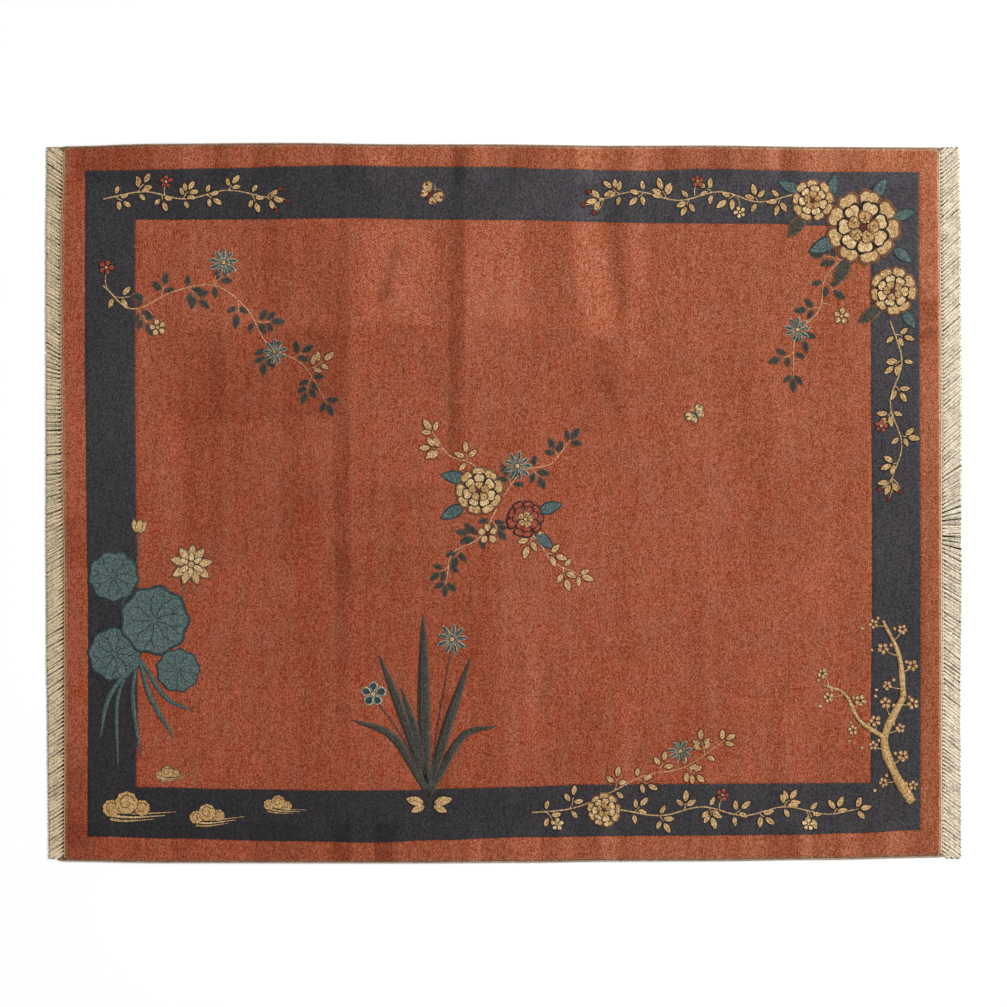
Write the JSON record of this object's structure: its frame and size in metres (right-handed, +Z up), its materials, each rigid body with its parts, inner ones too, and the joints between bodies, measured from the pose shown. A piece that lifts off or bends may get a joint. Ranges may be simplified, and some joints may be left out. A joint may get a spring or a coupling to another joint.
{
  "type": "rug",
  "caption": "Room-size hand-knotted wool pile rug lying flat, with a dark band set in from its edge, overcast long edges and a cotton fringe along each short edge.",
  "frame": {"origin": "on the floor under the middle of the rug's box, fringes included", "axes": "+X along the rug's long side from one fringe to the other, +Y across it to the back edge, +Z up with the pile side up"},
  "size_m": [3.121, 2.457, 0.0179],
  "materials": {
    "wool_pile": "dense soft cut wool pile, terracotta with a blue-black band",
    "selvedge_cord": "tan overcast yarn",
    "cream_cotton": "cream plied cotton, matt"
  },
  "bodies": {
    "root": {"rug_body": "wool_pile", "selvedge_back": "selvedge_cord", "selvedge_front": "selvedge_cord", "fringe_left": "cream_cotton", "fringe_right": "cream_cotton"}
  },
  "joints": []
}
